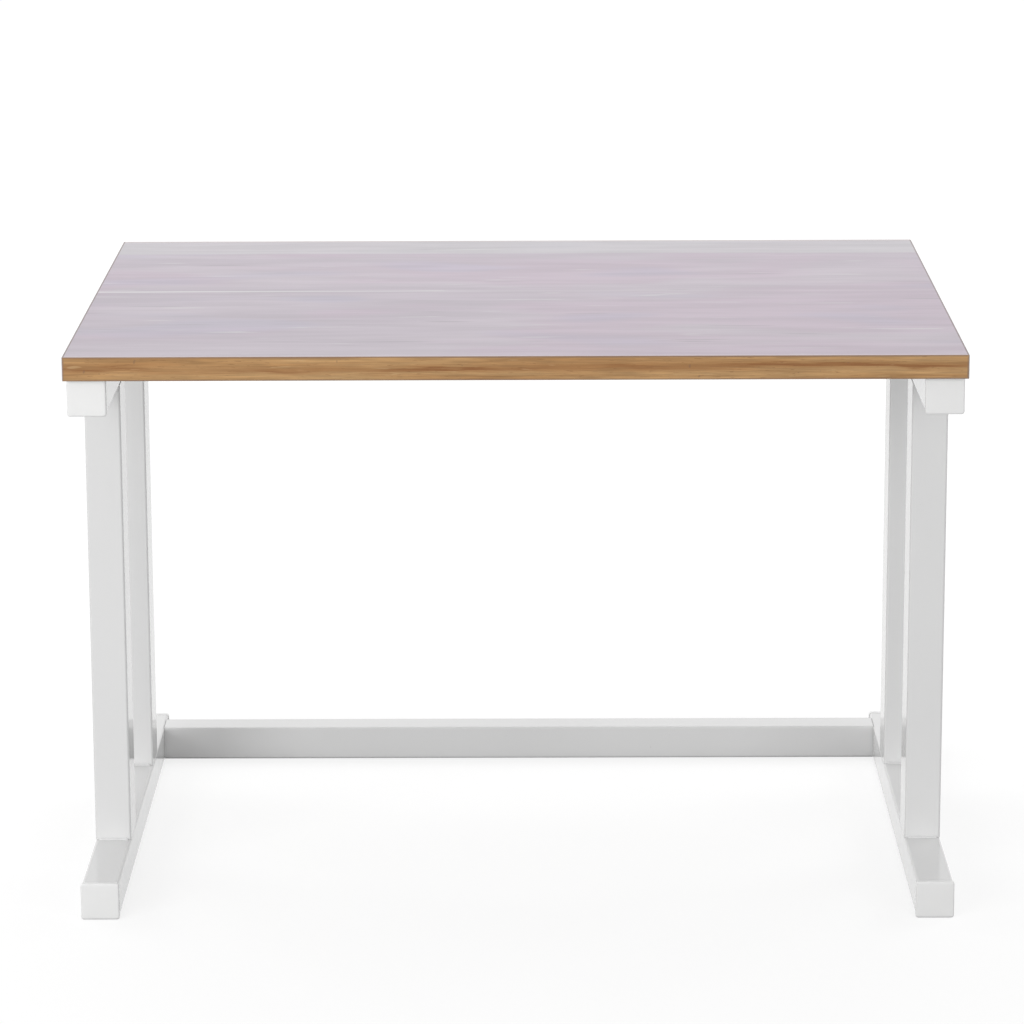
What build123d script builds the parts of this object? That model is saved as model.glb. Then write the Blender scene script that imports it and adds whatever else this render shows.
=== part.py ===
from build123d import *
import os

# A free-standing steel and wood stand that bridges a countertop appliance.
# One laminated board lies on two welded side frames, and a low crossbar ties the
# frames together at the back. Millimetres, +X to the right seen from the front,
# +Y towards the back, +Z up. The origin is on the floor under the board's centre.

# Board
BOARD_WIDTH = 600.0
BOARD_DEPTH = 450.0
BOARD_THICKNESS = 16.0
LAMINATE_THICKNESS = 0.6
BAND_THICKNESS = 0.5
BAND_CORNER_RADIUS = 0.4
BAND_EDGE_CHAMFER = 0.2

# Steel tubes: square rails and crossbar, rectangular uprights of the same width
TUBE_SIZE = 25.0
TUBE_WALL = 1.2
TUBE_CORNER_RADIUS = 1.8
UPRIGHT_DEPTH = 38.0
UPRIGHT_HEIGHT = 327.0

# Layout of the frames under the board
SIDE_INSET = 2.5
FRONT_INSET = 7.0
RAIL_LENGTH_OVER_CAPS = 422.0
UPRIGHT_SETBACK = 101.5
CROSSBAR_SETBACK = 382.0

# Moulded end caps: a head with a leaning rim on the tube's end and a finned plug in its bore
CAP_WALL_DEPTH = 2.8
CAP_RIM_DEPTH = 1.2
CAP_RIM_LEAN = 38.0
CAP_LIP = 0.6
CAP_CORNER_RADIUS = 2.2
PLUG_CLEARANCE = 0.25
PLUG_LENGTH = 16.0
PLUG_WALL = 1.6
FIN_HEIGHT = 0.6
FIN_WIDTH = 1.2
FIN_PITCH = 4.5
FIN_COUNT = 3

# Weld beads across the front and rear faces of each upright's two ends
WELD_LEG = 1.8
WELD_BULGE = 0.6
WELD_LENGTH = 21.0

# Pan-head screws, up through the top rails into the board
SCREW_RADIUS = 1.9
SCREW_HEAD_RADIUS = 4.0
SCREW_HEAD_HEIGHT = 2.4
SCREW_HEAD_CHAMFER = 1.0
SCREW_LENGTH = 35.0
SCREW_POINT_LENGTH = 4.0
SCREW_END_DISTANCE = 50.0
SCREW_HOLE_RADIUS = 2.3
PILOT_RADIUS = 2.0
PILOT_MARGIN = 0.5

# Flat-head bolts, through the foot rails into the crossbar's threaded end plates
BOLT_RADIUS = 3.0
BOLT_LENGTH = 38.0
BOLT_HEAD_RADIUS = 7.0
BOLT_HEAD_HEIGHT = 2.2
BOLT_HEAD_CHAMFER = 0.7
BOLT_HOLE_RADIUS = 3.3
SOCKET_ACROSS_FLATS = 4.0
SOCKET_DEPTH = 1.6
PLATE_THICKNESS = 4.0
PLATE_CLEARANCE = 0.1
NUT_ACROSS_FLATS = 10.0
NUT_HEIGHT = 5.0
THREAD_RADIUS = 3.05

# Derived places
TOP_Z = 2 * TUBE_SIZE + UPRIGHT_HEIGHT + BOARD_THICKNESS
BOARD_BOTTOM_Z = TOP_Z - BOARD_THICKNESS
CORE_WIDTH = BOARD_WIDTH - 2 * BAND_THICKNESS
CORE_DEPTH = BOARD_DEPTH - 2 * BAND_THICKNESS
CORE_BOTTOM_Z = BOARD_BOTTOM_Z + LAMINATE_THICKNESS
CORE_THICKNESS = BOARD_THICKNESS - 2 * LAMINATE_THICKNESS
RAIL_X = BOARD_WIDTH / 2 - SIDE_INSET - TUBE_SIZE / 2
CAP_HEAD_DEPTH = CAP_WALL_DEPTH + CAP_RIM_DEPTH
FRONT_CAP_Y = -BOARD_DEPTH / 2 + FRONT_INSET
RAIL_FRONT_Y = FRONT_CAP_Y + CAP_HEAD_DEPTH
RAIL_LENGTH = RAIL_LENGTH_OVER_CAPS - 2 * CAP_HEAD_DEPTH
RAIL_REAR_Y = RAIL_FRONT_Y + RAIL_LENGTH
RAIL_MIDDLE_Y = (RAIL_FRONT_Y + RAIL_REAR_Y) / 2
FRONT_UPRIGHT_Y = FRONT_CAP_Y + UPRIGHT_SETBACK + UPRIGHT_DEPTH / 2
REAR_UPRIGHT_Y = 2 * RAIL_MIDDLE_Y - FRONT_UPRIGHT_Y
FOOT_RAIL_Z = TUBE_SIZE / 2
TOP_RAIL_Z = BOARD_BOTTOM_Z - TUBE_SIZE / 2
BORE_SIZE = TUBE_SIZE - 2 * TUBE_WALL
CROSSBAR_Y = FRONT_CAP_Y + CROSSBAR_SETBACK + TUBE_SIZE / 2
CROSSBAR_LENGTH = 2 * RAIL_X - TUBE_SIZE
SCREW_FRONT_Y = RAIL_FRONT_Y + SCREW_END_DISTANCE
SCREW_REAR_Y = RAIL_REAR_Y - SCREW_END_DISTANCE
SCREW_TIP_Z = BOARD_BOTTOM_Z - TUBE_SIZE + SCREW_LENGTH
SIDES = {"left": -1, "right": 1}
SCREW_PLACES = [(side * RAIL_X, y) for side in SIDES.values() for y in (SCREW_FRONT_Y, SCREW_REAR_Y)]

os.makedirs("parts", exist_ok=True)


def save(part, name):
    """Label one finished piece and write it under its own name."""
    part.label = name
    export_step(part, f"parts/{name}.step")


def hollow_section(width, depth):
    """Draw a tube's wall, rounded outside and square inside, in the open sketch."""
    RectangleRounded(width, depth, TUBE_CORNER_RADIUS)
    Rectangle(width - 2 * TUBE_WALL, depth - 2 * TUBE_WALL, mode=Mode.SUBTRACT)


# ---- Board ----


def make_board_core():
    """Particle-board slab with a blind pilot hole for each screw."""
    with BuildPart() as board_core:
        with BuildSketch(Plane.XY.offset(CORE_BOTTOM_Z)):
            Rectangle(CORE_WIDTH, CORE_DEPTH)
        extrude(amount=CORE_THICKNESS)
        with BuildSketch(Plane.XY.offset(CORE_BOTTOM_Z)):
            with Locations(*SCREW_PLACES):
                Circle(PILOT_RADIUS)
        extrude(amount=SCREW_TIP_Z + PILOT_MARGIN - CORE_BOTTOM_Z, mode=Mode.SUBTRACT)
    return board_core.part


def make_laminate(bottom_z, has_screw_holes):
    """Thin decor sheet over one face of the core."""
    with BuildPart() as laminate:
        with BuildSketch(Plane.XY.offset(bottom_z)):
            Rectangle(CORE_WIDTH, CORE_DEPTH)
            if has_screw_holes:
                with Locations(*SCREW_PLACES):
                    Circle(SCREW_HOLE_RADIUS, mode=Mode.SUBTRACT)
        extrude(amount=LAMINATE_THICKNESS)
    return laminate.part


def make_long_band(toward):
    """Edge strip along the front (-1) or rear (+1), between the side strips."""
    with BuildPart() as band:
        with BuildSketch(Plane.XY.offset(BOARD_BOTTOM_Z)):
            with Locations((0, toward * (BOARD_DEPTH - BAND_THICKNESS) / 2)):
                Rectangle(CORE_WIDTH, BAND_THICKNESS)
        extrude(amount=BOARD_THICKNESS)
        outer_face = band.faces().sort_by(Axis.Y)[0 if toward < 0 else -1]
        chamfer(outer_face.edges().filter_by(Axis.X), BAND_EDGE_CHAMFER)
    return band.part


def make_side_band(side):
    """Edge strip along one side, over the front and rear strips' ends."""
    with BuildPart() as band:
        with BuildSketch(Plane.XY.offset(BOARD_BOTTOM_Z)):
            with Locations((side * (BOARD_WIDTH - BAND_THICKNESS) / 2, 0)):
                Rectangle(BAND_THICKNESS, BOARD_DEPTH)
        extrude(amount=BOARD_THICKNESS)
        outer_face = band.faces().sort_by(Axis.X)[0 if side < 0 else -1]
        fillet(outer_face.edges().filter_by(Axis.Z), BAND_CORNER_RADIUS)
        outer_face = band.faces().sort_by(Axis.X)[0 if side < 0 else -1]
        chamfer(outer_face.edges().filter_by(Axis.Y), BAND_EDGE_CHAMFER)
    return band.part


# ---- Side frames ----


def make_rail(side, z, holes, hole_radius):
    """Square tube from front to back, open at both ends, drilled through both walls."""
    with BuildPart() as rail:
        with BuildSketch(Plane.XZ.offset(-RAIL_FRONT_Y)):
            with Locations((side * RAIL_X, z)):
                hollow_section(TUBE_SIZE, TUBE_SIZE)
        extrude(amount=-RAIL_LENGTH)
        with Locations(*holes):
            Hole(hole_radius)
    return rail.part


def make_top_rail(side):
    """Rail under the board, drilled upwards for two board screws."""
    holes = [(side * RAIL_X, y, TOP_RAIL_Z) for y in (SCREW_FRONT_Y, SCREW_REAR_Y)]
    return make_rail(side, TOP_RAIL_Z, holes, SCREW_HOLE_RADIUS)


def make_foot_rail(side):
    """Rail on the floor, drilled sideways for the crossbar bolt."""
    across = Location((side * RAIL_X, CROSSBAR_Y, FOOT_RAIL_Z), (0, 90, 0))
    return make_rail(side, FOOT_RAIL_Z, [across], BOLT_HOLE_RADIUS)


def make_upright(side, y):
    """Rectangular tube standing between the foot rail and the top rail."""
    with BuildPart() as upright:
        with BuildSketch(Plane.XY.offset(TUBE_SIZE)):
            with Locations((side * RAIL_X, y)):
                hollow_section(TUBE_SIZE, UPRIGHT_DEPTH)
        extrude(amount=UPRIGHT_HEIGHT)
    return upright.part


def make_weld_beads(side):
    """Fillet beads in the corners between one frame's uprights and rails."""
    with BuildPart() as weld_beads:
        with BuildSketch(Plane.YZ.offset(side * RAIL_X - WELD_LENGTH / 2)):
            for upright_y in (FRONT_UPRIGHT_Y, REAR_UPRIGHT_Y):
                for out in (-1, 1):
                    for z, up in ((TUBE_SIZE, 1), (TUBE_SIZE + UPRIGHT_HEIGHT, -1)):
                        y = upright_y + out * UPRIGHT_DEPTH / 2
                        foot = (y + out * WELD_LEG, z)
                        head = (y, z + up * WELD_LEG)
                        crest = (y + out * WELD_LEG * WELD_BULGE, z + up * WELD_LEG * WELD_BULGE)
                        with BuildLine():
                            Polyline(foot, (y, z), head)
                            ThreePointArc(head, crest, foot)
                        make_face()
        extrude(amount=WELD_LENGTH)
    return weld_beads.part


def make_end_cap(side, rail_z, free_side, toward):
    """Moulded cap in the front (-1) or rear (+1) end of a rail.

    The head stands a lip proud of the tube on its two sides and on its free side,
    above (+1) on a foot rail and below (-1) on a top rail. It is flush with the
    tube where the floor or the board presses on it.
    """
    end_y = RAIL_FRONT_Y if toward < 0 else RAIL_REAR_Y
    end = Plane(origin=(side * RAIL_X, end_y, rail_z), x_dir=(1, 0, 0), z_dir=(0, toward, 0))
    lip_side = -toward * free_side
    fin_size = BORE_SIZE - 2 * PLUG_CLEARANCE
    plug_size = fin_size - 2 * FIN_HEIGHT
    bore_size = plug_size - 2 * PLUG_WALL
    with BuildPart() as cap:
        with BuildSketch(end):
            with Locations((0, lip_side * CAP_LIP / 2)):
                RectangleRounded(TUBE_SIZE + 2 * CAP_LIP, TUBE_SIZE + CAP_LIP, CAP_CORNER_RADIUS)
        extrude(amount=CAP_WALL_DEPTH)
        outer_face = cap.faces().sort_by(Axis.Y)[0 if toward < 0 else -1]
        extrude(outer_face, amount=CAP_RIM_DEPTH, taper=CAP_RIM_LEAN)
        with BuildSketch(end):
            Rectangle(plug_size, plug_size)
        extrude(amount=-PLUG_LENGTH)
        for fin in range(FIN_COUNT):
            with BuildSketch(end.offset(-FIN_WIDTH - fin * FIN_PITCH)):
                Rectangle(fin_size, fin_size)
            extrude(amount=-FIN_WIDTH)
        with BuildSketch(end.offset(-PLUG_LENGTH)):
            Rectangle(bore_size, bore_size)
        extrude(amount=PLUG_LENGTH - PLUG_WALL, mode=Mode.SUBTRACT)
    return cap.part


# ---- Crossbar ----


def make_crossbar():
    """Square tube on the floor between the two foot rails."""
    with BuildPart() as crossbar:
        with BuildSketch(Plane.YZ.offset(-CROSSBAR_LENGTH / 2)):
            with Locations((CROSSBAR_Y, FOOT_RAIL_Z)):
                hollow_section(TUBE_SIZE, TUBE_SIZE)
        extrude(amount=CROSSBAR_LENGTH)
    return crossbar.part


def bolt_axis(side, x):
    """Plane across one crossbar bolt, facing outwards from the stand."""
    return Plane(origin=(side * x, CROSSBAR_Y, FOOT_RAIL_Z), x_dir=(0, 1, 0), z_dir=(side, 0, 0))


def make_end_plate(side):
    """Plate in the crossbar's end with a hexagonal nut behind it."""
    plate_size = BORE_SIZE - 2 * PLATE_CLEARANCE
    outer = bolt_axis(side, CROSSBAR_LENGTH / 2)
    with BuildPart() as end_plate:
        with BuildSketch(outer):
            Rectangle(plate_size, plate_size)
        extrude(amount=-PLATE_THICKNESS)
        with BuildSketch(outer.offset(-PLATE_THICKNESS)):
            RegularPolygon(NUT_ACROSS_FLATS / 2, 6, major_radius=False)
        extrude(amount=-NUT_HEIGHT)
        with BuildSketch(outer):
            Circle(THREAD_RADIUS)
        extrude(amount=-(PLATE_THICKNESS + NUT_HEIGHT), mode=Mode.SUBTRACT)
    return end_plate.part


def make_crossbar_bolts():
    """Two flat-head bolts with hexagonal sockets, one through each foot rail."""
    seats = [bolt_axis(side, RAIL_X + TUBE_SIZE / 2) for side in SIDES.values()]
    with BuildPart() as bolts:
        with BuildSketch(*seats):
            Circle(BOLT_HEAD_RADIUS)
        extrude(amount=BOLT_HEAD_HEIGHT)
        outer_faces = [bolts.faces().sort_by(Axis.X)[0], bolts.faces().sort_by(Axis.X)[-1]]
        chamfer([face.edges()[0] for face in outer_faces], BOLT_HEAD_CHAMFER)
        with BuildSketch(*seats):
            Circle(BOLT_RADIUS)
        extrude(amount=-BOLT_LENGTH)
        with BuildSketch(*[seat.offset(BOLT_HEAD_HEIGHT) for seat in seats]):
            RegularPolygon(SOCKET_ACROSS_FLATS / 2, 6, major_radius=False)
        extrude(amount=-SOCKET_DEPTH, mode=Mode.SUBTRACT)
    return bolts.part


def make_board_screws():
    """Four pan-head screws, heads under the top rails."""
    seat_z = BOARD_BOTTOM_Z - TUBE_SIZE
    point_z = SCREW_TIP_Z - SCREW_POINT_LENGTH
    with BuildPart() as screws:
        with BuildSketch(Plane.XY.offset(seat_z)):
            with Locations(*SCREW_PLACES):
                Circle(SCREW_HEAD_RADIUS)
        extrude(amount=-SCREW_HEAD_HEIGHT)
        chamfer(screws.edges().group_by(Axis.Z)[0], SCREW_HEAD_CHAMFER)
        with BuildSketch(Plane.XY.offset(seat_z)):
            with Locations(*SCREW_PLACES):
                Circle(SCREW_RADIUS)
        extrude(amount=point_z - seat_z)
        with Locations(*[(x, y, point_z) for x, y in SCREW_PLACES]):
            Cone(SCREW_RADIUS, 0, SCREW_POINT_LENGTH, align=(Align.CENTER, Align.CENTER, Align.MIN))
    return screws.part


# ---- Write every piece ----

save(make_board_core(), "board_core")
save(make_laminate(TOP_Z - LAMINATE_THICKNESS, False), "board_top_laminate")
save(make_laminate(BOARD_BOTTOM_Z, True), "board_bottom_laminate")
save(make_long_band(-1), "edge_band_front")
save(make_long_band(1), "edge_band_rear")

for side_name, side in SIDES.items():
    save(make_side_band(side), f"edge_band_{side_name}")
    save(make_upright(side, FRONT_UPRIGHT_Y), f"{side_name}_front_upright")
    save(make_upright(side, REAR_UPRIGHT_Y), f"{side_name}_rear_upright")
    save(make_weld_beads(side), f"{side_name}_weld_beads")
    save(make_end_plate(side), f"{side_name}_crossbar_end_plate")
    save(make_top_rail(side), f"{side_name}_top_rail")
    save(make_foot_rail(side), f"{side_name}_foot_rail")
    for level, rail_z, free_side in (("top", TOP_RAIL_Z, -1), ("foot", FOOT_RAIL_Z, 1)):
        for end_name, toward in (("front", -1), ("rear", 1)):
            cap = make_end_cap(side, rail_z, free_side, toward)
            save(cap, f"{side_name}_{level}_{end_name}_cap")

save(make_crossbar(), "rear_crossbar")
save(make_crossbar_bolts(), "crossbar_bolts")
save(make_board_screws(), "board_screws")
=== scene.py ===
import math
from collections import namedtuple

import bmesh
import bpy
from mathutils import Matrix, Vector


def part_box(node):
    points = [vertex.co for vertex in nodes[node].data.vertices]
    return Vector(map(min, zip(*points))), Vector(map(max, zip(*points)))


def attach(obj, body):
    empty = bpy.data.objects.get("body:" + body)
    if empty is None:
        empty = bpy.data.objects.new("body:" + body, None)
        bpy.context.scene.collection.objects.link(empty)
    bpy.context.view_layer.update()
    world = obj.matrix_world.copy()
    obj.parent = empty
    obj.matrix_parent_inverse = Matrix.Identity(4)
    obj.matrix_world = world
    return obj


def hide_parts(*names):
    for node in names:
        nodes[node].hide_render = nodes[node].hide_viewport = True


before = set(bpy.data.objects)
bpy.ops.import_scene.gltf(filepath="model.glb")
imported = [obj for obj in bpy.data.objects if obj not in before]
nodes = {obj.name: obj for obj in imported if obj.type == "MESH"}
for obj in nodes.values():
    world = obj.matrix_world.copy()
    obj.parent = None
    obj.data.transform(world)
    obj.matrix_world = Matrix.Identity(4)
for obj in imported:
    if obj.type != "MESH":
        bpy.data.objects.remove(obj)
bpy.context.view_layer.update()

MM = 0.001

# Camera, solved from the board's corners and the frames' edges in the photograph
LENS_LENGTH = 150.416
SENSOR_WIDTH = 36.0
CAMERA_PLACE = (0.01056, -2.99693, 0.94676)
CAMERA_YAW = 0.272
CAMERA_PITCH = -13.380
CAMERA_ROLL = -0.221

# Studio: a softbox's share is the light that it gives to a surface facing it at the aim
AIM = Vector((0.0, -0.05, 0.25))
AMBIENT_LIGHT = 0.45
SOFTBOXES = [
    ("key_softbox", (-1.4, -2.1, 0.75), (1.8, 1.1), 0.49),
    ("fill_softbox", (1.7, -2.5, 0.80), (1.8, 1.1), 0.18),
    ("top_softbox", (-0.1, 1.2, 1.7), (1.6, 1.2), 0.26),
    ("left_back_softbox", (-2.5, 1.6, 1.4), (2.0, 1.8), 0.25),
    ("right_back_softbox", (2.5, 1.6, 1.4), (2.0, 1.8), 0.25),
]

# Floor, just below the feet. Where it shows, it glows more with the distance from the object
FLOOR_SIZE = 24.0
FLOOR_LEVEL = -0.1 * MM
FLOOR_ALBEDO = 0.30
FLOOR_GLOW_NEAR = 0.75
FLOOR_GLOW_FAR = 0.88
FLOOR_GLOW_REACH = (0.7, 3.0)

# End caps: heads
CAP_RIM_INSET = 1.3 * MM
CAP_RIM_DEPTH = 1.2 * MM
CAP_RIM_STEPS = 6
CAP_CROWN = 0.22 * MM
CAP_CROWN_SPREAD = 0.94
CAP_CROWN_STEPS = 6
CAP_CORNER_RADIUS = 1.9 * MM
CAP_LEAST_RADIUS = 0.5 * MM
CAP_RADIUS_LOSS = 0.5
CAP_HEAD_DEPTH = 4.0 * MM
CAP_BACK_ROUND = 0.3 * MM
CORNER_STEPS = 5

# End caps: finned plugs, with a fin's tip as shares of its height and width
CAP_WALL = 1.6 * MM
PLUG_HALF = 10.45 * MM
PLUG_LENGTH = 16.0 * MM
PLUG_RADIUS = 0.8 * MM
PLUG_LEAD_LENGTH = 0.8 * MM
PLUG_LEAD_INSET = 0.4 * MM
FIN_HEIGHT = 0.6 * MM
FIN_WIDTH = 1.2 * MM
FIN_PITCH = 4.5 * MM
FIN_COUNT = 3
FIN_FRONT_SLOPE = 0.1 * MM
FIN_TIP_HEIGHT = 0.7
FIN_TIP_WIDTH = 0.6

# Weld beads, with each drift as (share of the height, length, phase)
BEAD_LEG = 1.8 * MM
BEAD_HEIGHT = 0.64
BEAD_BULGE = 0.21
BEAD_LEAD = 0.35 * MM
BEAD_STEP = 0.25 * MM
BEAD_SECTION_STEPS = 6
BEAD_TAPER = 1.6 * MM
BEAD_END_SHARE = 0.12
BEAD_RIPPLE = 0.10
BEAD_RIPPLE_PITCH = 1.4 * MM
BEAD_DRIFTS = ((0.10, 2.9 * MM, 0.0), (0.06, 1.1 * MM, 2.0))
BEAD_LUMP = 0.22
BEAD_LUMP_PLACE = 1.5 * MM
BEAD_LUMP_SPREAD = 1.2 * MM

# Board screws
SCREW_SEAT_Z = 352.0 * MM
SCREW_SHANK_TOP_Z = 383.0 * MM
SCREW_TIP_Z = 387.0 * MM
SCREW_END_DISTANCE = 50.0 * MM
SCREW_RADIUS = 1.9 * MM
SCREW_SEGMENTS = 28
SCREW_STEP = 0.25 * MM
SCREW_BLUNTNESS = 0.03
THREAD_DEPTH = 0.45 * MM
THREAD_PITCH = 1.8 * MM
THREAD_SHARPNESS = 5
THREAD_FADE_LENGTH = 3.0 * MM
THREAD_FADE_DELAY = 0.3
HEAD_RADIUS = 4.0 * MM
HEAD_HEIGHT = 2.4 * MM
HEAD_SIDE = 0.8 * MM
HEAD_EDGE = 0.15 * MM
HEAD_FLAT_SHARE = 0.45
HEAD_ARC_STEPS = 7
HEAD_ARC_TURN = 88
RECESS_DEPTH = 1.7 * MM
RECESS_HALF_SPAN = 2.2 * MM
RECESS_HALF_SLOT = 0.45 * MM
RECESS_SLOT_TAPER = 0.5
RECESS_OVERRUN = 1.0 * MM
RECESS_MOUTH_SIZE = 1.15
RECESS_FLOOR_SIZE = 0.45


def grey(value):
    return (value, value, value, 1.0)


# ---- Finishes ----

# A noise texture. Its stretch is per metre, on all axes or on each: a high number is fine detail.
Noise = namedtuple("Noise", "stretch detail roughness distortion", defaults=(0.5, 0.0))

# A tint that is laid where a noise is high. It fades in as the noise goes from start to end.
Marks = namedtuple("Marks", "noise start end strength tint")

# A ramp: smoothly from low to high as a value goes from start to end.
Tone = namedtuple("Tone", "start end low high")

BARE_EDGE_TURN = (0.01, 0.12)
PROBE_SAMPLES = 6

COAT_CLOUDS = Noise(11, 3.0)
COAT_COLOURS = (grey(0.785), (0.820, 0.820, 0.818, 1.0))
COAT_EDGE_WIDTH = 1.2 * MM
COAT_THIN = Marks(Noise(160, 4.0), 0.35, 0.70, 0.45, (0.62, 0.62, 0.63, 1.0))
# Painted shade: the coat is darkened in narrow corners and creases, found by ambient occlusion
COAT_SHADE_REACH = 5 * MM
COAT_PAINTED_SHADE_TONE = Tone(0.25, 0.85, 0.80, 1.0)
COAT_SPECKS = Marks(Noise(900, 1.0), 0.80, 0.84, 0.5, grey(0.45))
COAT_GLOSS = Noise(45, 3.0)
COAT_ROUGHNESS = Tone(0.3, 0.7, 0.08, 0.13)
COAT_PEEL = Noise(420, 1.5)
COAT_PEEL_DEPTH = 0.012 * MM
WELD_PEEL_DEPTH = 0.040 * MM
COAT_SKIN = Noise(2600, 1.0)
COAT_SKIN_DEPTH = 0.002 * MM

CAP_CLOUDS = Noise(60, 3.0)
CAP_COLOURS = ((0.870, 0.870, 0.866, 1.0), (0.900, 0.900, 0.896, 1.0))
CAP_EDGE_WIDTH = 0.9 * MM
CAP_WORN = Marks(Noise(240, 4.0), 0.45, 0.75, 0.30, (0.66, 0.66, 0.65, 1.0))
# Painted shade: the cap is darkened in narrow corners, found by ambient occlusion
CAP_SHADE_REACH = 3 * MM
CAP_PAINTED_SHADE_TONE = Tone(0.2, 0.8, 0.78, 1.0)
CAP_ROUGHNESS = Tone(0.3, 0.7, 0.36, 0.44)
CAP_GRAIN = Noise(1800, 2.0)
CAP_GRAIN_DEPTH = 0.012 * MM
CAP_FLOW = Noise(130, 1.0)
CAP_FLOW_DEPTH = 0.03 * MM

PRINT_SPECULAR = 0.42

TOP_CLOUDS = Noise((2.2, 16, 1), 2.0, distortion=0.3)
TOP_COLOURS = ((0.554, 0.498, 0.556, 1.0), (0.622, 0.565, 0.620, 1.0))
TOP_COLOUR_RANGE = (0.36, 0.64)
TOP_PINK = Marks(Noise((6, 12, 1), 2.0), 0.45, 0.60, 0.55, (0.596, 0.494, 0.577, 1.0))
TOP_COOL = Marks(Noise((7, 15, 3), 1.0), 0.56, 0.68, 0.40, (0.528, 0.507, 0.609, 1.0))
TOP_STREAKS = Noise((9, 68, 5), 2.5, distortion=0.2)
TOP_STREAK_TONE = Tone(0.30, 0.70, 0.94, 1.04)
TOP_FIBRES = Noise((14, 520, 1), 5.0, 0.65)
TOP_FIBRE_TONE = Tone(0.25, 0.75, 0.975, 1.02)
TOP_PALE_DASHES = Marks(Noise((15, 170, 1), 2.0), 0.66, 0.74, 0.55, grey(0.73))
TOP_DARK_DASHES = Marks(Noise((12, 130, 7), 2.0), 0.66, 0.76, 0.5, (0.43, 0.39, 0.43, 1.0))
TOP_ROUGHNESS = Tone(0.3, 0.7, 0.48, 0.56)
TOP_PORES = Noise((60, 1500, 1), 3.0)
TOP_PORE_DEPTH = 0.012 * MM
TOP_WAVES = Noise((3, 45, 1), 2.0)
TOP_WAVE_DEPTH = 0.05 * MM
PLANK_WANDER = Noise((7, 1, 1), 1.0)
PLANK_WANDER_WIDTH = 4 * MM
REAR_PLANK_EDGE = Tone(168 * MM, 174 * MM, 0.0, 0.70)
REAR_PLANK_TINT = (0.630, 0.618, 0.638, 1.0)
JOINT_Y = 16 * MM
JOINT_PROFILE = Tone(0.8 * MM, 3.2 * MM, 1.0, 0.0)
JOINT_FADING = Tone(-270 * MM, 60 * MM, 0.74, 0.12)
JOINT_TINT = grey(0.82)
# Painted highlight: a lighter, warmer band along the long edges, laid on their burnish
BURNISH_AND_HIGHLIGHT = Tone(1.0 * MM, 6.0 * MM, 0.42, 0.0)
BURNISH_AND_HIGHLIGHT_TINT = (0.80, 0.71, 0.70, 1.0)
GLUE_LINE = Tone(0.3 * MM, 0.9 * MM, 0.8, 0.0)
GLUE_TINT = (0.20, 0.14, 0.11, 1.0)

PAPER_CLOUDS = Noise((8, 20, 1), 4.0, 0.6)
PAPER_COLOURS = ((0.60, 0.585, 0.57, 1.0), (0.68, 0.665, 0.65, 1.0))
PAPER_FLECKS = Marks(Noise((500, 700, 1), 2.0), 0.66, 0.74, 0.35, (0.48, 0.45, 0.42, 1.0))
PAPER_SCUFFS = Marks(Noise((30, 6, 1), 6.0, 0.7), 0.62, 0.70, 0.25, grey(0.50))
# Painted shade: the paper is darkened in narrow corners, found by ambient occlusion
PAPER_SHADE_REACH = 4 * MM
PAPER_PAINTED_SHADE_TONE = Tone(0.2, 0.9, 0.75, 1.0)
PAPER_ROUGHNESS = Tone(0.0, 1.0, 0.55, 0.42)
PAPER_TOOTH = Noise(1300, 2.0)
PAPER_TOOTH_DEPTH = 0.01 * MM

# Along the oak strips, a stretch is (along the grain, across it)
OAK_CLOUDS = Noise((5, 190), 3.0, 0.55, 0.4)
OAK_COLOURS = ((0.404, 0.217, 0.087, 1.0), (0.525, 0.316, 0.143, 1.0))
OAK_COLOUR_RANGE = (0.3, 0.7)
OAK_FIBRES = Noise((35, 1900), 4.0, 0.65)
OAK_FIBRE_TONE = Tone(0.25, 0.75, 0.84, 1.13)
OAK_BANDS = Noise((30, 480), 2.5, distortion=0.3)
OAK_BAND_TONE = Tone(0.30, 0.70, 0.84, 1.14)
OAK_PORES = Marks(Noise((150, 1400), 2.0), 0.64, 0.72, 0.55, (0.205, 0.095, 0.036, 1.0))
OAK_RAYS = Marks(Noise((60, 700), 2.0), 0.66, 0.74, 0.45, (0.590, 0.395, 0.205, 1.0))
OAK_NICKS = Marks(Noise(300, 0.0), 0.85, 0.87, 0.35, (0.16, 0.10, 0.07, 1.0))
OAK_ROUGHNESS = Tone(0.3, 0.7, 0.40, 0.52)
OAK_SKIN_DEPTH = 0.02 * MM
VEIN_RISE = 0.3 * MM
VEIN_PATH = Noise((7, 1), 3.0, 0.55)
VEIN_WANDER = Tone(0.25, 0.75, -2.6 * MM, 2.6 * MM)
VEIN_FIBRE_RAGS = Tone(0.3, 0.7, -0.8 * MM, 0.8 * MM)
VEIN_BAND_RAGS = Tone(0.3, 0.7, 0.9 * MM, -0.9 * MM)
VEIN_HALO = Tone(0.5 * MM, 4.4 * MM, 0.52, 0.0)
VEIN_HALO_TINT = (0.330, 0.160, 0.060, 1.0)
VEIN_CORE = Tone(0.2 * MM, 1.7 * MM, 1.0, 0.0)
VEIN_BREAKS = Noise((13, 60), 3.0)
VEIN_BREAK_TONE = Tone(0.38, 0.64, 0.10, 0.80)
VEIN_TINT = (0.245, 0.098, 0.030, 1.0)
ARRIS_PROFILE = Tone(0.5 * MM, 1.3 * MM, 1.0, 0.0)
ARRIS_RUBBING = Noise((25, 40), 3.0)
ARRIS_RUBBING_TONE = Tone(0.35, 0.65, 0.50, 0.90)
ARRIS_TINT = (0.250, 0.160, 0.105, 1.0)
CUT_FACING = 0.9
CUT_TINT_LONG = (0.340, 0.220, 0.150, 1.0)
CUT_TINT_SIDE = (0.420, 0.390, 0.400, 1.0)

CHIP_STRETCH = (420, 900, 1200)
CHIP_COLOURS = ((0.42, 0.29, 0.17, 1.0), (0.60, 0.46, 0.30, 1.0))
CHIP_ROUGHNESS = Tone(0.0, 1.0, 0.75, 0.9)
CHIP_DEPTH = 0.15 * MM

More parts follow.
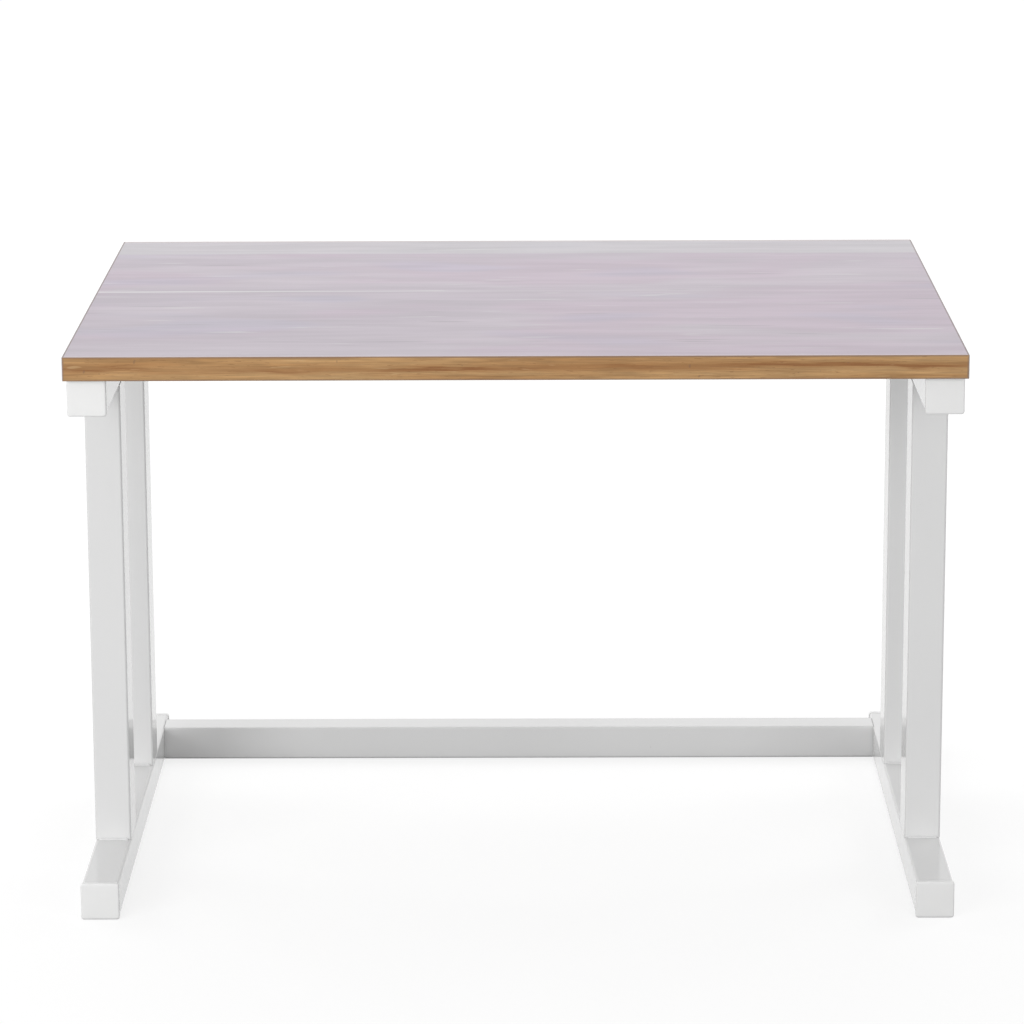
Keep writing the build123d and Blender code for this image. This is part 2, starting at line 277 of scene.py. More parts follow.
ZINC_CLOUDS = Noise(260, 3.0)
ZINC_COLOURS = ((0.55, 0.57, 0.60, 1.0), (0.64, 0.62, 0.55, 1.0))
ZINC_COLOUR_RANGE = (0.35, 0.65)
ZINC_EDGE_WIDTH = 0.4 * MM
ZINC_WORN_STRENGTH = 0.5
ZINC_WORN_TINT = grey(0.72)
ZINC_ROUGHNESS = Tone(0.3, 0.7, 0.26, 0.42)
ZINC_SKIN = Noise(3000, 2.0)
ZINC_SKIN_DEPTH = 0.006 * MM


class Tree:
    """A shader node tree, with a short call for each kind of node that is used here."""

    FACTOR, COLOUR_A, COLOUR_B, COLOUR_OUT = 0, 6, 7, 2

    def __init__(self, owner):
        owner.use_nodes = True
        self.owner = owner
        self.nodes = owner.node_tree.nodes
        self.links = owner.node_tree.links

    def feed(self, socket, value):
        """Link an output into the socket, or set a plain value there."""
        if isinstance(value, bpy.types.NodeSocket):
            self.links.new(value, socket)
        else:
            socket.default_value = value

    def add(self, kind, sockets, **settings):
        """Add a node, with its settings first and then its sockets."""
        made = self.nodes.new("ShaderNode" + kind)
        for key, value in settings.items():
            setattr(made, key, value)
        for key, value in sockets.items():
            self.feed(made.inputs[key], value)
        return made

    def place(self):
        """The surface point in metres, in the row frame."""
        return self.add("TexCoord", {}).outputs["Object"]

    def axes(self, vector):
        return self.add("SeparateXYZ", {"Vector": vector}).outputs

    def stretched(self, per_metre, place=None):
        """The surface point, multiplied on all axes or on each."""
        scale = per_metre if isinstance(per_metre, tuple) else (per_metre, per_metre, per_metre)
        source = place or self.place()
        return self.add("Mapping", {"Vector": source, "Scale": scale}).outputs["Vector"]

    def noise(self, pattern, place=None):
        sockets = {
            "Vector": self.stretched(pattern.stretch, place),
            "Scale": 1.0,
            "Detail": pattern.detail,
            "Roughness": pattern.roughness,
            "Distortion": pattern.distortion,
        }
        return self.add("TexNoise", sockets).outputs["Fac"]

    def between(self, value, start, end, low=0.0, high=1.0):
        """Smoothly from low to high as the value goes from start to end."""
        sockets = {
            "Value": value,
            "From Min": start,
            "From Max": end,
            "To Min": low,
            "To Max": high,
        }
        made = self.add("MapRange", sockets, interpolation_type="SMOOTHSTEP")
        return made.outputs["Result"]

    def math(self, operation, first, second=0.0):
        return self.add("Math", {0: first, 1: second}, operation=operation).outputs["Value"]

    def distance(self, value, centre):
        """How far the value is from the centre, on either side."""
        return self.math("ABSOLUTE", self.math("SUBTRACT", value, centre))

    def inside(self, limit, value):
        """How far the value is inside plus or minus the limit."""
        return self.math("SUBTRACT", limit, self.math("ABSOLUTE", value))

    def mix(self, factor, first, second, blend="MIX"):
        sockets = {self.FACTOR: factor, self.COLOUR_A: first, self.COLOUR_B: second}
        made = self.add("Mix", sockets, data_type="RGBA", blend_type=blend)
        return made.outputs[self.COLOUR_OUT]

    def toned(self, colour, value, tone):
        """The colour multiplied by the tone that the value has."""
        return self.mix(1.0, colour, self.between(value, *tone), "MULTIPLY")

    def mask(self, noise, marks):
        """Where the marks are, from 0 to 1."""
        return self.between(noise, marks.start, marks.end)

    def laid(self, colour, mask, marks):
        """The colour with the marks' tint laid over it where the mask is."""
        return self.mix(self.math("MULTIPLY", mask, marks.strength), colour, marks.tint)

    def marked(self, colour, noise, marks):
        """The colour with the marks laid over it where the noise puts them."""
        return self.laid(colour, self.mask(noise, marks), marks)

    def bump(self, height, distance, under=None):
        sockets = {"Height": height, "Distance": distance, "Strength": 1.0}
        if under is not None:
            sockets["Normal"] = under
        return self.add("Bump", sockets).outputs["Normal"]

    def edges(self, radius):
        """1 along convex and concave edges within the radius, 0 on open faces."""
        rounded = self.add("Bevel", {"Radius": radius}, samples=PROBE_SAMPLES).outputs["Normal"]
        plain = self.add("NewGeometry", {}).outputs["Normal"]
        dot = self.add("VectorMath", {0: rounded, 1: plain}, operation="DOT_PRODUCT")
        turn = self.math("SUBTRACT", 1.0, dot.outputs["Value"])
        return self.between(turn, *BARE_EDGE_TURN)

    def painted_crease_shade(self, distance):
        """Ambient occlusion for painted shade: 1 in the open, towards 0 in narrow corners."""
        sockets = {"Distance": distance}
        return self.add("AmbientOcclusion", sockets, samples=PROBE_SAMPLES).outputs["AO"]

    def finish(self, colour, roughness, normal, **constants):
        """Feed the material's own shader, with plain values for other sockets by name."""
        shader = self.nodes["Principled BSDF"]
        self.feed(shader.inputs["Base Color"], colour)
        self.feed(shader.inputs["Roughness"], roughness)
        self.feed(shader.inputs["Normal"], normal)
        for name, value in constants.items():
            self.feed(shader.inputs[name], value)
        return self.owner


def new_tree(name):
    """The tree of a new material."""
    return Tree(bpy.data.materials.new(name))


def powder_coat(name, peel_depth):
    """White semi-gloss powder coat with an orange-peel skin, thinner along the edges, and painted
    shade in narrow corners.
    """
    tree = new_tree(name)
    coat = tree.mix(tree.noise(COAT_CLOUDS), *COAT_COLOURS)
    patchy = tree.mask(tree.noise(COAT_THIN.noise), COAT_THIN)
    thin = tree.math("MULTIPLY", tree.edges(COAT_EDGE_WIDTH), patchy)
    coat = tree.laid(coat, thin, COAT_THIN)
    # Painted shade: darker in narrow corners and creases
    coat = tree.toned(coat, tree.painted_crease_shade(COAT_SHADE_REACH), COAT_PAINTED_SHADE_TONE)
    coat = tree.marked(coat, tree.noise(COAT_SPECKS.noise), COAT_SPECKS)
    roughness = tree.between(tree.noise(COAT_GLOSS), *COAT_ROUGHNESS)
    peel = tree.bump(tree.noise(COAT_PEEL), peel_depth)
    skin = tree.bump(tree.noise(COAT_SKIN), COAT_SKIN_DEPTH, peel)
    return tree.finish(coat, roughness, skin)


def cap_plastic():
    """Satin white moulded plastic with a fine spark-eroded grain, and painted shade in narrow
    corners.
    """
    tree = new_tree("cap_plastic_finish")
    clouds = tree.noise(CAP_CLOUDS)
    tint = tree.mix(clouds, *CAP_COLOURS)
    rubbed = tree.mask(tree.noise(CAP_WORN.noise), CAP_WORN)
    worn = tree.math("MULTIPLY", tree.edges(CAP_EDGE_WIDTH), rubbed)
    tint = tree.laid(tint, worn, CAP_WORN)
    # Painted shade: darker in narrow corners
    tint = tree.toned(tint, tree.painted_crease_shade(CAP_SHADE_REACH), CAP_PAINTED_SHADE_TONE)
    roughness = tree.between(clouds, *CAP_ROUGHNESS)
    grain = tree.bump(tree.noise(CAP_GRAIN), CAP_GRAIN_DEPTH)
    flow = tree.bump(tree.noise(CAP_FLOW), CAP_FLOW_DEPTH, grain)
    return tree.finish(tint, roughness, flow)


def top_grain(tree, place, print_colour):
    """Streaks, fibres and dashes along the board."""
    streaks = tree.noise(TOP_STREAKS, place)
    print_colour = tree.toned(print_colour, streaks, TOP_STREAK_TONE)
    fibres = tree.noise(TOP_FIBRES, place)
    print_colour = tree.toned(print_colour, fibres, TOP_FIBRE_TONE)
    for marks in (TOP_PALE_DASHES, TOP_DARK_DASHES):
        print_colour = tree.marked(print_colour, tree.noise(marks.noise, place), marks)
    return print_colour


def top_joint(tree, axes, line_y, print_colour):
    """The pale joint between printed planks, which fades towards the right."""
    joint = tree.between(tree.distance(line_y, JOINT_Y), *JOINT_PROFILE)
    fading = tree.between(axes["X"], *JOINT_FADING)
    return tree.mix(tree.math("MULTIPLY", joint, fading), print_colour, JOINT_TINT)


def top_margins(tree, axes, print_colour):
    """Long edges lightened and warmed by a painted highlight on their burnish, and a dark glue
    line all round.
    """
    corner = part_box("board_top_laminate")[1]
    to_side = tree.inside(corner.x, axes["X"])
    to_long_edge = tree.inside(corner.y, axes["Y"])
    # Painted highlight along the burnished long edges
    burnish_and_highlight = tree.between(to_long_edge, *BURNISH_AND_HIGHLIGHT)
    print_colour = tree.mix(burnish_and_highlight, print_colour, BURNISH_AND_HIGHLIGHT_TINT)
    glue = tree.between(tree.math("MINIMUM", to_side, to_long_edge), *GLUE_LINE)
    return tree.mix(glue, print_colour, GLUE_TINT)


def top_laminate():
    """Pale grey-lilac wood print, with soft streaks along the board and joints between planks."""
    tree = new_tree("top_laminate_finish")
    place = tree.place()
    axes = tree.axes(place)
    clouds = tree.noise(TOP_CLOUDS, place)
    print_colour = tree.mix(tree.between(clouds, *TOP_COLOUR_RANGE), *TOP_COLOURS)
    for marks in (TOP_PINK, TOP_COOL):
        print_colour = tree.marked(print_colour, tree.noise(marks.noise, place), marks)
    wander = tree.math("MULTIPLY", tree.noise(PLANK_WANDER, place), PLANK_WANDER_WIDTH)
    line_y = tree.math("ADD", axes["Y"], wander)
    rear_plank = tree.between(line_y, *REAR_PLANK_EDGE)
    print_colour = tree.mix(rear_plank, print_colour, REAR_PLANK_TINT)
    print_colour = top_grain(tree, place, print_colour)
    print_colour = top_joint(tree, axes, line_y, print_colour)
    print_colour = top_margins(tree, axes, print_colour)
    roughness = tree.between(clouds, *TOP_ROUGHNESS)
    pores = tree.bump(tree.noise(TOP_PORES, place), TOP_PORE_DEPTH)
    waves = tree.bump(tree.noise(TOP_WAVES, place), TOP_WAVE_DEPTH, pores)
    return tree.finish(print_colour, roughness, waves, **{"Specular IOR Level": PRINT_SPECULAR})


def underside_laminate():
    """Plain warm-grey balancing paper, matt, with faint fibres and scuffs, and painted shade in
    narrow corners.
    """
    tree = new_tree("underside_laminate_finish")
    paper = tree.mix(tree.noise(PAPER_CLOUDS), *PAPER_COLOURS)
    paper = tree.marked(paper, tree.noise(PAPER_FLECKS.noise), PAPER_FLECKS)
    scuffs = tree.mask(tree.noise(PAPER_SCUFFS.noise), PAPER_SCUFFS)
    paper = tree.laid(paper, scuffs, PAPER_SCUFFS)
    # Painted shade: darker in narrow corners
    paper = tree.toned(paper, tree.painted_crease_shade(PAPER_SHADE_REACH), PAPER_PAINTED_SHADE_TONE)
    roughness = tree.between(scuffs, *PAPER_ROUGHNESS)
    tooth = tree.bump(tree.noise(PAPER_TOOTH), PAPER_TOOTH_DEPTH)
    return tree.finish(paper, roughness, tooth)


def oak_vein(tree, grain, height, fibres, bands, wood):
    """One wandering, broken, ragged darker vein, with a softer halo."""
    wander = tree.between(grain(VEIN_PATH), *VEIN_WANDER)
    from_vein = tree.distance(height, tree.math("ADD", VEIN_RISE, wander))
    ragged = tree.math("ADD", from_vein, tree.between(fibres, *VEIN_FIBRE_RAGS))
    ragged = tree.math("ADD", ragged, tree.between(bands, *VEIN_BAND_RAGS))
    wood = tree.mix(tree.between(ragged, *VEIN_HALO), wood, VEIN_HALO_TINT)
    breaks = tree.between(grain(VEIN_BREAKS), *VEIN_BREAK_TONE)
    vein = tree.math("MULTIPLY", tree.between(ragged, *VEIN_CORE), breaks)
    return tree.mix(vein, wood, VEIN_TINT)


def oak_arrises(tree, grain, to_long_edge, to_end, wood):
    """Darker, unevenly rubbed margins where the strip was trimmed."""
    arris = tree.between(tree.math("MINIMUM", to_long_edge, to_end), *ARRIS_PROFILE)
    rubbing = tree.between(grain(ARRIS_RUBBING), *ARRIS_RUBBING_TONE)
    return tree.mix(tree.math("MULTIPLY", arris, rubbing), wood, ARRIS_TINT)


def oak_cut_faces(tree, along_x, wood):
    """The strip's own thin cut faces, which don't face outwards."""
    facing = tree.axes(tree.add("NewGeometry", {}).outputs["True Normal"])
    outward = tree.math("ABSOLUTE", facing["Y" if along_x else "X"])
    cut = tree.math("LESS_THAN", outward, CUT_FACING)
    return tree.mix(cut, wood, CUT_TINT_LONG if along_x else CUT_TINT_SIDE)


def oak_band(name, grain_axis):
    """Printed oak edge strip: fine fibres, one darker vein, and trimmed darker arrises."""
    tree = new_tree(name)
    along_x = grain_axis == "X"
    place = tree.place()
    axes = tree.axes(place)
    low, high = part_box("edge_band_front" if along_x else "edge_band_left")
    height = tree.math("SUBTRACT", axes["Z"], (low.z + high.z) / 2)

    def grain(pattern):
        """A noise whose stretch is laid along the strip."""
        along, across = pattern.stretch
        stretch = (along, 1, across) if along_x else (1, along, across)
        return tree.noise(pattern._replace(stretch=stretch), place)

    fibres = grain(OAK_FIBRES)
    bands = grain(OAK_BANDS)
    wood = tree.mix(tree.between(grain(OAK_CLOUDS), *OAK_COLOUR_RANGE), *OAK_COLOURS)
    wood = tree.toned(wood, fibres, OAK_FIBRE_TONE)
    wood = tree.toned(wood, bands, OAK_BAND_TONE)
    wood = oak_vein(tree, grain, height, fibres, bands, wood)
    for marks in (OAK_PORES, OAK_RAYS):
        wood = tree.marked(wood, grain(marks.noise), marks)
    wood = tree.marked(wood, tree.noise(OAK_NICKS.noise, place), OAK_NICKS)
    to_long_edge = tree.inside((high.z - low.z) / 2, height)
    to_end = tree.inside(high.x, axes["X"]) if along_x else tree.inside(high.y, axes["Y"])
    wood = oak_arrises(tree, grain, to_long_edge, to_end, wood)
    wood = oak_cut_faces(tree, along_x, wood)
    roughness = tree.between(fibres, *OAK_ROUGHNESS)
    skin = tree.bump(fibres, OAK_SKIN_DEPTH)
    return tree.finish(wood, roughness, skin, **{"Specular IOR Level": PRINT_SPECULAR})


def particle_core():
    """Raw particle board: pressed chips of mixed browns."""
    tree = new_tree("particle_core_finish")
    sockets = {"Vector": tree.stretched(CHIP_STRETCH), "Scale": 1.0, "Randomness": 1.0}
    chips = tree.add("TexVoronoi", sockets).outputs
    tone = tree.add("SeparateColor", {"Color": chips["Color"]}).outputs["Red"]
    board = tree.mix(tone, *CHIP_COLOURS)
    roughness = tree.between(tone, *CHIP_ROUGHNESS)
    return tree.finish(board, roughness, tree.bump(chips["Distance"], CHIP_DEPTH))


def zinc_steel():
    """Zinc-plated steel with a faint blue and straw passivation and a fine grain."""
    tree = new_tree("zinc_steel_finish")
    clouds = tree.noise(ZINC_CLOUDS)
    plating = tree.mix(tree.between(clouds, *ZINC_COLOUR_RANGE), *ZINC_COLOURS)
    worn = tree.math("MULTIPLY", tree.edges(ZINC_EDGE_WIDTH), ZINC_WORN_STRENGTH)
    plating = tree.mix(worn, plating, ZINC_WORN_TINT)
    roughness = tree.between(clouds, *ZINC_ROUGHNESS)
    skin = tree.bump(tree.noise(ZINC_SKIN), ZINC_SKIN_DEPTH)
    return tree.finish(plating, roughness, skin, Metallic=1.0)


def paint(material, *names):
    """Give CAD nodes a finish."""
    for name in names:
        for holder in nodes[name].material_slots:
            holder.material = material


# ---- New pieces ----


def closed_mesh(name, vertices, faces):
    """A mesh whose faces all point outwards."""
    mesh = bpy.data.meshes.new(name)
    mesh.from_pydata(vertices, [], faces)
    turned = bmesh.new()
    turned.from_mesh(mesh)
    bmesh.ops.recalc_face_normals(turned, faces=turned.faces)
    turned.to_mesh(mesh)
    turned.free()
    return mesh


def put_in_scene(name, data):
    made = bpy.data.objects.new(name, data)
    bpy.context.scene.collection.objects.link(made)
    return made


def add_piece(name, form, material, replaced, smooth_angle=35.0):
    """Make a piece from points and faces in the row frame, in place of a CAD node."""
    mesh = closed_mesh(name, *form)
    mesh.shade_smooth()
    mesh.set_sharp_from_angle(angle=math.radians(smooth_angle))
    mesh.materials.append(material)
    piece = put_in_scene(name, mesh)
    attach(piece, "root")
    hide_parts(replaced)


def lofted(rings):
    """Quads between rings of equally many points, with both ends closed."""
    count = len(rings[0])
    vertices = [point for ring in rings for point in ring]
    faces = [tuple(range(count)), tuple(range(len(vertices) - count, len(vertices)))]
    for row in range(len(rings) - 1):
        start, after = row * count, (row + 1) * count
        for step in range(count):
            following = (step + 1) % count
            faces.append((start + step, start + following, after + following, after + step))
    return vertices, faces


def joined(forms):
    """Several forms as one list of points and one of faces."""
    vertices, faces = [], []
    for form_vertices, form_faces in forms:
        first = len(vertices)
        vertices += form_vertices
        faces += [tuple(first + index for index in face) for face in form_faces]
    return vertices, faces


def rounded_ring(low_x, high_x, low_z, high_z, radius, y):
    """Rounded rectangle across the Y axis."""
    corners = [
        (high_x - radius, high_z - radius, 0),
        (low_x + radius, high_z - radius, 90),
        (low_x + radius, low_z + radius, 180),
        (high_x - radius, low_z + radius, 270),
    ]
    ring = []
    for x, z, start in corners:
        for step in range(CORNER_STEPS + 1):
            turn = math.radians(start + 90 * step / CORNER_STEPS)
            ring.append((x + radius * math.cos(turn), y, z + radius * math.sin(turn)))
    return ring


def cap_head_profile(half_size):
    """Inset from the head's outline, and depth behind its face, from the middle outwards."""
    profile = []
    for step in range(CAP_CROWN_STEPS + 1):
        reach = step / CAP_CROWN_STEPS
        inset = half_size * (1 - reach) * CAP_CROWN_SPREAD + CAP_RIM_INSET * reach
        profile.append((inset, CAP_CROWN * reach**2))
    for step in range(1, CAP_RIM_STEPS + 1):
        turn = math.radians(90 * step / CAP_RIM_STEPS)
        depth = CAP_CROWN + (CAP_RIM_DEPTH - CAP_CROWN) * (1 - math.cos(turn))
        profile.append((CAP_RIM_INSET * (1 - math.sin(turn)), depth))
    profile.append((0.0, CAP_HEAD_DEPTH - CAP_BACK_ROUND))
    profile.append((CAP_BACK_ROUND, CAP_HEAD_DEPTH))
    return profile


def plug_profile():
    """Half size and depth behind the head's face, along the finned plug and back up its bore."""
    profile = [(PLUG_HALF, CAP_HEAD_DEPTH)]
    for fin in range(FIN_COUNT):
        start = CAP_HEAD_DEPTH + FIN_WIDTH + fin * FIN_PITCH
        profile += [
            (PLUG_HALF, start),
            (PLUG_HALF + FIN_HEIGHT, start + FIN_FRONT_SLOPE),
            (PLUG_HALF + FIN_HEIGHT * FIN_TIP_HEIGHT, start + FIN_WIDTH * FIN_TIP_WIDTH),
            (PLUG_HALF, start + FIN_WIDTH),
        ]
    end = CAP_HEAD_DEPTH + PLUG_LENGTH
    profile += [
        (PLUG_HALF, end - PLUG_LEAD_LENGTH),
        (PLUG_HALF - PLUG_LEAD_INSET, end),
        (PLUG_HALF - CAP_WALL, end),
        (PLUG_HALF - CAP_WALL, CAP_HEAD_DEPTH + CAP_WALL),
    ]
    return profile


def make_cap(side, level, end_name, material):
    """Moulded end cap: crowned head with a rounded rim, and a finned plug inside the rail."""
    node = f"{side}_{level}_{end_name}_cap"
    low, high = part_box(node)
    rail_low, rail_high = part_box(f"{side}_{level}_rail")
    middle = (rail_low + rail_high) / 2
    face_y, inwards = (low.y, 1) if end_name == "front" else (high.y, -1)
    rings = []
    for inset, depth in cap_head_profile((high.z - low.z) / 2):
        radius = max(CAP_CORNER_RADIUS - inset * CAP_RADIUS_LOSS, CAP_LEAST_RADIUS)
        outline = (low.x + inset, high.x - inset, low.z + inset, high.z - inset)
        rings.append(rounded_ring(*outline, radius, face_y + inwards * depth))
    for half, depth in plug_profile():
        outline = (middle.x - half, middle.x + half, middle.z - half, middle.z + half)
        rings.append(rounded_ring(*outline, PLUG_RADIUS, face_y + inwards * depth))
    add_piece(f"{node}_moulding", lofted(rings), material, node)


def bead_size(along, length, inner_side):
    """Bead height against its nominal one: ripples, tapered ends and a lump at the inner end."""
    from_end = min(along, length - along)
    taper = math.sqrt(min(1.0, BEAD_END_SHARE + from_end / BEAD_TAPER))
    ripple = 1 + BEAD_RIPPLE * abs(math.sin(math.pi * along / BEAD_RIPPLE_PITCH))
    drift = 1 + sum(share * math.sin(along / run + phase) for share, run, phase in BEAD_DRIFTS)
    from_inner = length - along if inner_side > 0 else along
    from_lump = (from_inner - BEAD_LUMP_PLACE) / BEAD_LUMP_SPREAD
    lump = 1 + BEAD_LUMP * math.exp(-(from_lump**2))
    return taper * ripple * drift * lump * BEAD_HEIGHT


def bead_rings(low_x, high_x, corner_y, out, corner_z, up, inner_side):
    """Cross-sections of one fillet bead that runs along X in a corner."""
    length = high_x - low_x
    steps = round(length / BEAD_STEP)
    rings = []
    for step in range(steps + 1):
        along = length * step / steps
        leg = BEAD_LEG * bead_size(along, length, inner_side)
        ring = [(low_x + along, corner_y, corner_z)]
        for point in range(BEAD_SECTION_STEPS + 1):
            share = point / BEAD_SECTION_STEPS
            belly = math.sin(math.pi * share)
            swell = 1 + BEAD_BULGE * belly
            x = min(low_x + along + BEAD_LEAD * belly, high_x)
            y = corner_y + out * leg * (1 - share) * swell
            z = corner_z + up * leg * share * swell
            ring.append((x, y, z))
        rings.append(ring)
    return rings


def make_welds(side, material):
    """All beads of one frame: across the front and rear face of both uprights, at both ends."""
    node = f"{side}_weld_beads"
    low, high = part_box(node)
    inner_side = 1 if side == "left" else -1
    floor_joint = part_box(f"{side}_foot_rail")[1].z
    top_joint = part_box(f"{side}_top_rail")[0].z
    beads = []
    for upright in ("front", "rear"):
        upright_low, upright_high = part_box(f"{side}_{upright}_upright")
        for corner_y, out in ((upright_low.y, -1), (upright_high.y, 1)):
            for corner_z, up in ((floor_joint, 1), (top_joint, -1)):
                rings = bead_rings(low.x, high.x, corner_y, out, corner_z, up, inner_side)
                beads.append(lofted(rings))
    add_piece(f"{side}_welds", joined(beads), material, node, 60.0)


def thread_radius(angle, z):
    """Radius of the screw's shank, with a coarse thread that fades out towards the head."""
    from_seat = z - SCREW_SEAT_Z
    turn = from_seat / THREAD_PITCH - angle / (2 * math.pi)
    ridge = max(0.0, 1 - abs(turn % 1 - 0.5) * THREAD_SHARPNESS)
    fade = min(1.0, max(0.0, from_seat / THREAD_FADE_LENGTH - THREAD_FADE_DELAY))
    return SCREW_RADIUS - THREAD_DEPTH * (1 - ridge * fade)


def head_profile():
    """Radius and depth below the seat, from the pan head's crown out to the seat."""
    profile = []
    for step in range(HEAD_ARC_STEPS + 1):
        turn = math.radians(HEAD_ARC_TURN * (1 - step / HEAD_ARC_STEPS))
        radius = HEAD_RADIUS * (HEAD_FLAT_SHARE + (1 - HEAD_FLAT_SHARE) * math.cos(turn))
        profile.append((radius, HEAD_SIDE + (HEAD_HEIGHT - HEAD_SIDE) * math.sin(turn)))
    profile.append((HEAD_RADIUS, HEAD_EDGE))
    profile.append((HEAD_RADIUS - HEAD_EDGE, 0.0))
    return profile


def ring_around(x, y, z, radii):
    """Points around the axis of a screw, at evenly spaced angles."""
    ring = []
    for step, radius in enumerate(radii):
        angle = 2 * math.pi * step / len(radii)
        ring.append((x + radius * math.cos(angle), y + radius * math.sin(angle), z))
    return ring


def screw_rings(x, y):
    """Rings of one screw, from its pan head below the seat up to its point."""
    rings = []
    for radius, depth in head_profile():
        rings.append(ring_around(x, y, SCREW_SEAT_Z - depth, [radius] * SCREW_SEGMENTS))
    angles = [2 * math.pi * segment / SCREW_SEGMENTS for segment in range(SCREW_SEGMENTS)]
    length = SCREW_TIP_Z - SCREW_SEAT_Z
    steps = round(length / SCREW_STEP)
    for step in range(steps + 1):
        z = SCREW_SEAT_Z + length * step / steps
        from_tip = (SCREW_TIP_Z - z) / (SCREW_TIP_Z - SCREW_SHANK_TOP_Z)
        point = min(1.0, from_tip + SCREW_BLUNTNESS)
        rings.append(ring_around(x, y, z, [thread_radius(angle, z) * point for angle in angles]))
    return rings


def cross_outline(size):
    """Points of a cross, whose arms shrink with the size in length and half as much in width."""
    arm = RECESS_HALF_SPAN * size
    side = RECESS_HALF_SLOT * (1 - RECESS_SLOT_TAPER + RECESS_SLOT_TAPER * size)
    quarter = [(arm, side), (side, side), (side, arm)]
    outline = []
    for _ in range(4):
        outline += quarter
        quarter = [(-over, across) for across, over in quarter]
    return outline


def cross_cutter(x, y):
    """Tapered cross-shaped recess tool, from below the head up into it."""
    bottom = SCREW_SEAT_Z - HEAD_HEIGHT
    sections = [
        (bottom - RECESS_OVERRUN, RECESS_MOUTH_SIZE),
        (bottom, 1.0),
        (bottom + RECESS_DEPTH, RECESS_FLOOR_SIZE),
    ]
    rings = []
    for z, size in sections:
        rings.append([(x + across, y + over, z) for across, over in cross_outline(size)])
    return lofted(rings)


def carved(form, cutter):
    """Points and faces of a closed form with another closed form cut away."""
    body, tool = [put_in_scene("carving", closed_mesh("carving", *one)) for one in (form, cutter)]
    cut = body.modifiers.new("recess", "BOOLEAN")
    cut.operation = "DIFFERENCE"
    cut.solver = "EXACT"
    cut.object = tool
    evaluated = body.evaluated_get(bpy.context.evaluated_depsgraph_get())
    result = bpy.data.meshes.new_from_object(evaluated)
    points = [tuple(vertex.co) for vertex in result.vertices]
    polygons = [tuple(polygon.vertices) for polygon in result.polygons]
    for carving in (body, tool):
        bpy.data.objects.remove(carving)
    return points, polygons


def make_screws(material):
    """Four pan-head wood screws, up through the top rails into the board."""
    screws = []
    for side in ("left", "right"):
        low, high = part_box(f"{side}_top_rail")
        x = (low.x + high.x) / 2
        for y in (low.y + SCREW_END_DISTANCE, high.y - SCREW_END_DISTANCE):
            screws.append(carved(lofted(screw_rings(x, y)), cross_cutter(x, y)))
    add_piece("board_screw_set", joined(screws), material, "board_screws")


# ---- Studio ----


def seen_directly(tree):
    """1 for rays that show the backdrop: from the camera, off gloss or through glass."""
    path = tree.add("LightPath", {}).outputs
    shown = path["Is Camera Ray"]
    for other in ("Is Glossy Ray", "Is Transmission Ray"):
        shown = tree.math("MAXIMUM", shown, path[other])
    return shown


def make_world():
    """White where the backdrop shows, and an even softer light on the object."""
    world = bpy.data.worlds.new("studio")
    tree = Tree(world)
    backdrop = tree.nodes["Background"]
    tree.feed(backdrop.inputs["Color"], grey(1.0))
    tree.feed(backdrop.inputs["Strength"], 1.0)
    ambient = tree.add("Background", {"Color": grey(1.0), "Strength": AMBIENT_LIGHT})
    sockets = {
        "Fac": seen_directly(tree),
        1: ambient.outputs["Background"],
        2: backdrop.outputs["Background"],
    }
    chooser = tree.add("MixShader", sockets)
    tree.feed(tree.nodes["World Output"].inputs["Surface"], chooser.outputs["Shader"])
    bpy.context.scene.world = world


def floor_finish():
    """Diffuse floor that also glows towards the camera and in reflections."""
    tree = new_tree("floor_white")
    tree.nodes.remove(tree.nodes["Principled BSDF"])
    paint_layer = tree.add("BsdfDiffuse", {"Color": grey(FLOOR_ALBEDO)})
    distance = tree.add("VectorMath", {0: tree.place()}, operation="LENGTH").outputs["Value"]
    level = tree.between(distance, *FLOOR_GLOW_REACH, FLOOR_GLOW_NEAR, FLOOR_GLOW_FAR)
    strength = tree.math("MULTIPLY", seen_directly(tree), level)
    glow = tree.add("Emission", {"Strength": strength})
    sockets = {0: paint_layer.outputs["BSDF"], 1: glow.outputs["Emission"]}
    both = tree.add("AddShader", sockets)
    tree.feed(tree.nodes["Material Output"].inputs["Surface"], both.outputs["Shader"])
    return tree.owner


def make_floor():
    """Plain white floor that keeps the object's shadow."""
    half = FLOOR_SIZE / 2
    corners = [(-half, -half), (half, -half), (half, half), (-half, half)]
    mesh = bpy.data.meshes.new("floor")
    mesh.from_pydata([(x, y, FLOOR_LEVEL) for x, y in corners], [], [(0, 1, 2, 3)])
    mesh.materials.append(floor_finish())
    put_in_scene("floor", mesh)


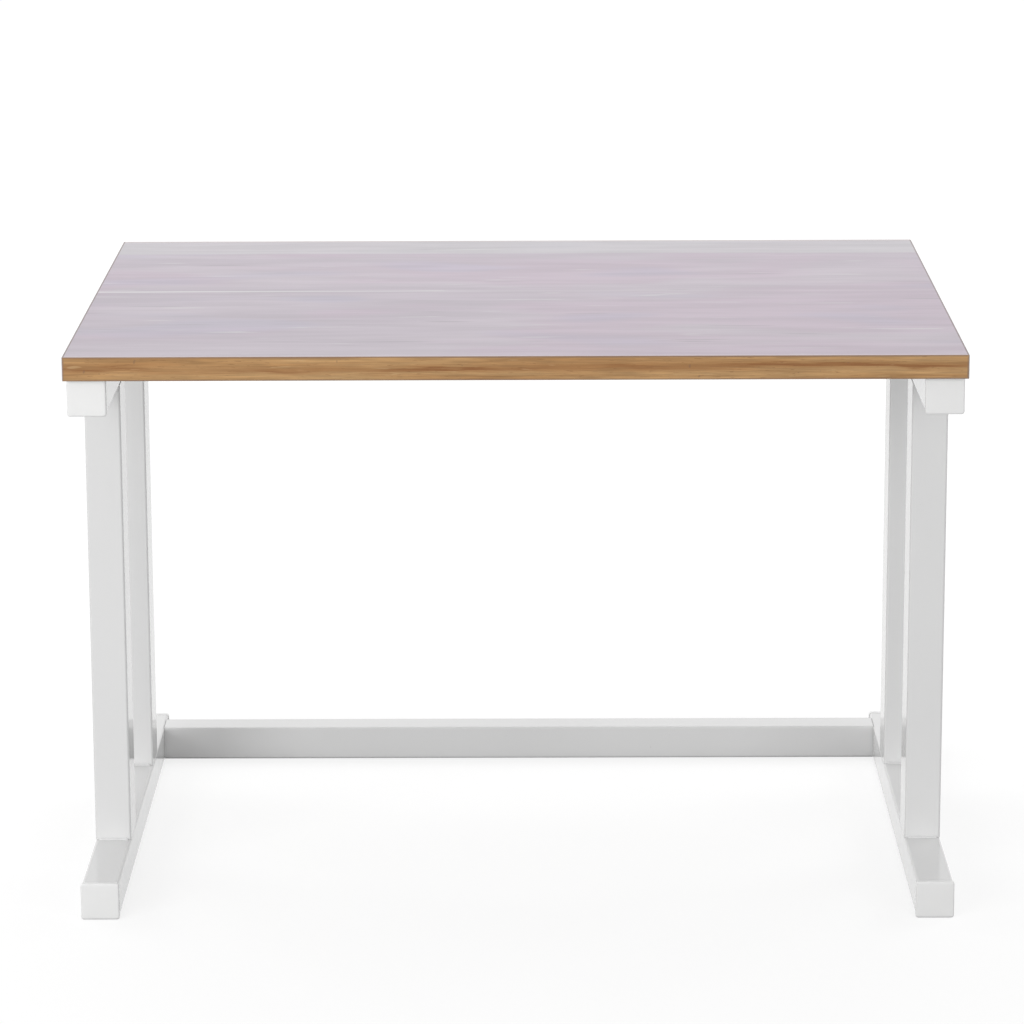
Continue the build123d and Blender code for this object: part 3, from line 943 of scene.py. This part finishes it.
def make_softboxes():
    """Rectangular lamps that face the object, whose gloss shows the white backdrop instead."""
    for name, place, (width, height), share in SOFTBOXES:
        lamp = bpy.data.lights.new(name, "AREA")
        lamp.shape = "RECTANGLE"
        lamp.size = width
        lamp.size_y = height
        toward_aim = AIM - Vector(place)
        lamp.energy = share * math.pi**2 * toward_aim.length_squared
        holder = put_in_scene(name, lamp)
        holder.location = place
        holder.rotation_euler = toward_aim.to_track_quat("-Z", "Y").to_euler()
        holder.visible_glossy = False


def make_camera():
    """The photograph's viewpoint."""
    lens = bpy.data.cameras.new("photo_camera")
    lens.sensor_width = SENSOR_WIDTH
    lens.lens = LENS_LENGTH
    camera = put_in_scene("photo_camera", lens)
    yaw = Matrix.Rotation(math.radians(CAMERA_YAW), 4, "Z")
    pitch = Matrix.Rotation(math.radians(90 + CAMERA_PITCH), 4, "X")
    roll = Matrix.Rotation(math.radians(CAMERA_ROLL), 4, "Z")
    camera.matrix_world = Matrix.Translation(CAMERA_PLACE) @ yaw @ pitch @ roll
    bpy.context.scene.camera = camera


# ---- Dress the frame ----

coat = powder_coat("powder_coat_finish", COAT_PEEL_DEPTH)
weld_coat = powder_coat("weld_coat_finish", WELD_PEEL_DEPTH)
cap_finish = cap_plastic()
zinc = zinc_steel()

paint(top_laminate(), "board_top_laminate")
paint(underside_laminate(), "board_bottom_laminate")
paint(particle_core(), "board_core")
paint(oak_band("oak_band_finish", "X"), "edge_band_front", "edge_band_rear")
paint(oak_band("oak_side_band_finish", "Y"), "edge_band_left", "edge_band_right")
paint(coat, "rear_crossbar")
paint(zinc, "crossbar_bolts")

for side in ("left", "right"):
    paint(coat, f"{side}_top_rail", f"{side}_foot_rail")
    paint(coat, f"{side}_front_upright", f"{side}_rear_upright")
    paint(zinc, f"{side}_crossbar_end_plate")
    make_welds(side, weld_coat)
    for level in ("top", "foot"):
        for end_name in ("front", "rear"):
            make_cap(side, level, end_name, cap_finish)

make_screws(zinc)

make_world()
make_floor()
make_softboxes()
make_camera()
bpy.context.scene.view_settings.view_transform = "Standard"
